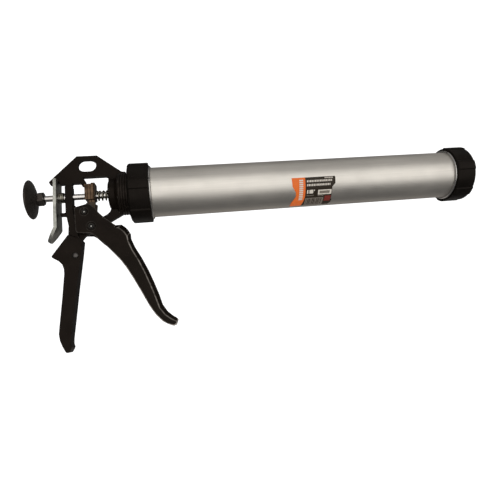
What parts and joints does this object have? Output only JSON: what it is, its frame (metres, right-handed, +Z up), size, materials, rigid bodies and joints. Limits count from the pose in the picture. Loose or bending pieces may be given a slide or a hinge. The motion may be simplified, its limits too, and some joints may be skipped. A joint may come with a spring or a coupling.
{
  "type": "caulking gun",
  "caption": "Sausage caulking gun with an aluminium barrel, black end caps, die-cast frame, squeeze trigger, release lever and pull rod.",
  "frame": {"origin": "centre of the hanging slot, in the frame's mid-plane", "axes": "+X along the barrel towards the nozzle end, +Z up with the handle and trigger hanging down, +Y to the gun's left"},
  "size_m": [0.4831, 0.0624, 0.1986],
  "materials": {
    "black_casting": "satin black paint on die-cast aluminium",
    "black_plastic": "satin black moulded plastic",
    "zinc_plate": "bright zinc plating",
    "black_oxide": "blackened steel pin, worn bright at the centre",
    "rod_steel": "polished drawn steel",
    "hardened_steel": "brown tempered steel, lightly oiled",
    "spring_wire": "zinc-plated spring wire",
    "barrel_aluminium": "satin anodised, with fine lengthwise drawing lines",
    "bright_aluminium": "bright turned aluminium",
    "gasket_rubber": "matte",
    "label_print": "satin printed film"
  },
  "bodies": {
    "frame_and_barrel": {"frame": "black_casting", "handle_shell": "black_casting", "handle_rivet": "zinc_plate", "trigger_pivot_pin": "black_oxide", "main_spring": "spring_wire", "release_spring": "spring_wire", "rear_cap": "black_plastic", "lock_ring": "black_plastic", "rear_gasket": "gasket_rubber", "barrel_tube": "barrel_aluminium", "barrel_collar_rear": "bright_aluminium", "barrel_collar_front": "bright_aluminium", "barrel_label": "label_print"},
    "trigger": {"trigger": "black_casting", "pusher_pin": "black_oxide"},
    "pusher": {"pusher": "hardened_steel"},
    "catch_plates": {"catch_plate_1": "hardened_steel", "catch_plate_2": "hardened_steel", "catch_plate_3": "hardened_steel", "plate_retainer": "hardened_steel"},
    "release_lever": {"release_lever": "zinc_plate"},
    "rod": {"drive_rod": "rod_steel", "pull_knob": "black_plastic", "knob_nut": "black_plastic", "piston_rear_plate": "zinc_plate", "piston_cup": "black_plastic", "piston_front_plate": "zinc_plate", "piston_nut": "zinc_plate"},
    "nozzle_ring": {"nozzle_ring": "zinc_plate"},
    "front_cap": {"front_cap": "black_plastic"}
  },
  "joints": [
    {"name": "trigger_squeeze", "type": "hinge", "parent": "frame_and_barrel", "child": "trigger", "pos_m": [0.0025, 0, -0.0667], "axis": [0, 1, 0], "range_deg": [0, 32], "stiffness_Nm_per_rad": 2, "springref_deg": -8.59},
    {"name": "pusher_swing", "type": "hinge", "parent": "trigger", "child": "pusher", "pos_m": [-0.0037, 0, -0.0513], "axis": [0, 1, 0], "range_deg": [-32, 0]},
    {"name": "catch_plate_slide", "type": "slide", "parent": "frame_and_barrel", "child": "catch_plates", "axis": [1, 0, 0], "range_m": [0, 0.0092], "deforming": ["main_spring"]},
    {"name": "rod_slide", "type": "slide", "parent": "frame_and_barrel", "child": "rod", "axis": [-1, 0, 0], "range_m": [0, 0.318]},
    {"name": "release_press", "type": "hinge", "parent": "frame_and_barrel", "child": "release_lever", "pos_m": [-0.0305, 0, -0.0166], "axis": [0, -1, 0], "range_deg": [0, 2.4], "stiffness_Nm_per_rad": 0.6, "springref_deg": -5.73, "deforming": ["release_spring"]},
    {"name": "cap_travel", "type": "slide", "parent": "frame_and_barrel", "child": "nozzle_ring", "axis": [1, 0, 0], "range_m": [0, 0.0121]},
    {"name": "cap_unscrew", "type": "hinge", "parent": "nozzle_ring", "child": "front_cap", "pos_m": [0.4118, 0, -0.0328], "axis": [1, 0, 0], "range_deg": [0, 1440]}
  ],
  "couplings": [
    {"joint": "pusher_swing", "follows": "trigger_squeeze", "ratio": -1},
    {"joint": "catch_plate_slide", "follows": "trigger_squeeze", "m_per_rad": 0.0163},
    {"joint": "cap_travel", "follows": "cap_unscrew", "m_per_rad": 0.00047746}
  ]
}
